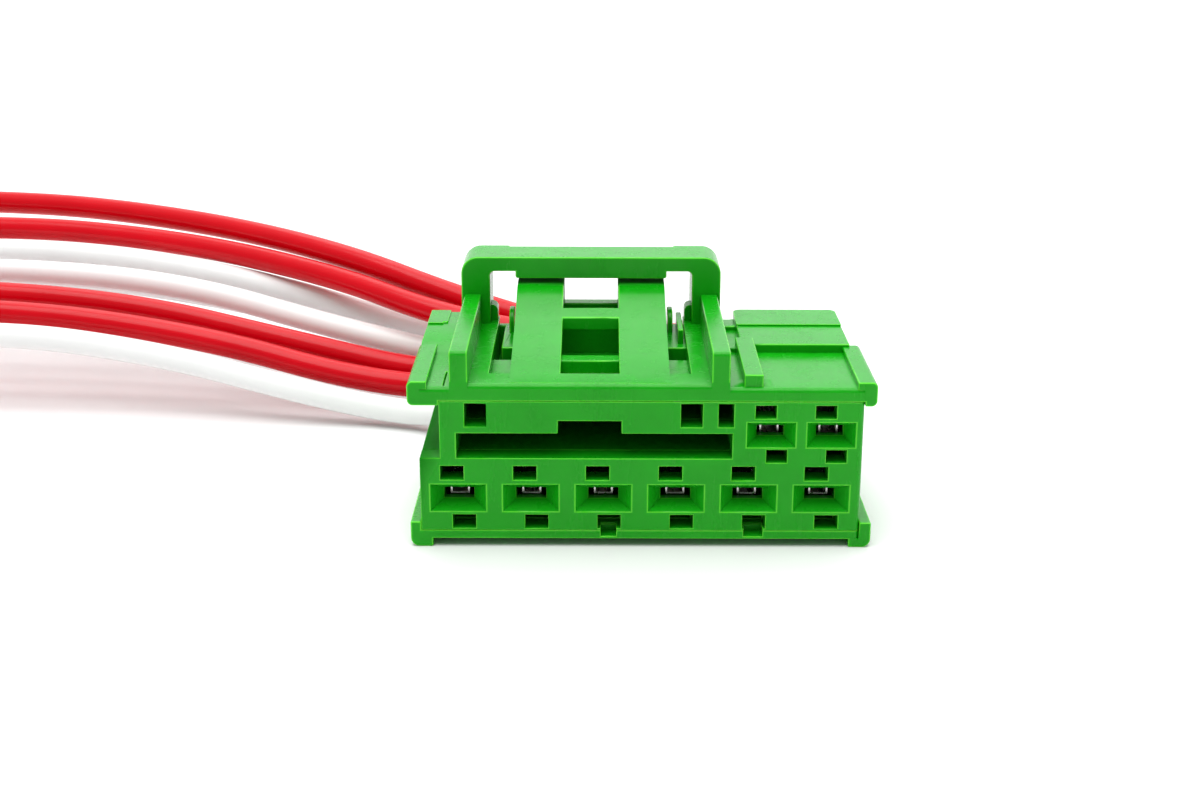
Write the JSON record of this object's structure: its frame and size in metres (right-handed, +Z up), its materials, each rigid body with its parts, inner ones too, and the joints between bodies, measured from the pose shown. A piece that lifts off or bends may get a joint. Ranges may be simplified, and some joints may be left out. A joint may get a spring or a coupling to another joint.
{
  "type": "wire harness connector",
  "caption": "Bright green moulded plug housing with a strap latch arm under a guard bow, guide rails and feet, stepped rows of cavities, and red and white wires leaving the rear.",
  "frame": {"origin": "centre of the underside of the housing's box, on the plane that the feet stand on; the wires are left out of that box", "axes": "+X to the right seen from the mating face, +Y from the mating face to the wire side, +Z up"},
  "size_m": [0.1289, 0.0602, 0.017],
  "materials": {
    "housing_green": "satin",
    "retainer_green": "satin",
    "red_jacket": "satin",
    "white_jacket": "satin",
    "tinned_contact": "bright tin",
    "copper_core": "bright copper"
  },
  "bodies": {
    "root": {"housing": "housing_green", "front_retainer": "retainer_green", "terminal_1": "tinned_contact", "core_1": "copper_core", "wire_1": "white_jacket", "terminal_2": "tinned_contact", "core_2": "copper_core", "wire_2": "red_jacket", "terminal_3": "tinned_contact", "core_3": "copper_core", "wire_3": "red_jacket", "terminal_4": "tinned_contact", "core_4": "copper_core", "wire_4": "white_jacket", "terminal_5": "tinned_contact", "core_5": "copper_core", "wire_5": "white_jacket", "terminal_6": "tinned_contact", "core_6": "copper_core", "wire_6": "white_jacket", "terminal_7": "tinned_contact", "core_7": "copper_core", "wire_7": "red_jacket", "terminal_8": "tinned_contact", "core_8": "copper_core", "wire_8": "red_jacket"}
  },
  "joints": []
}
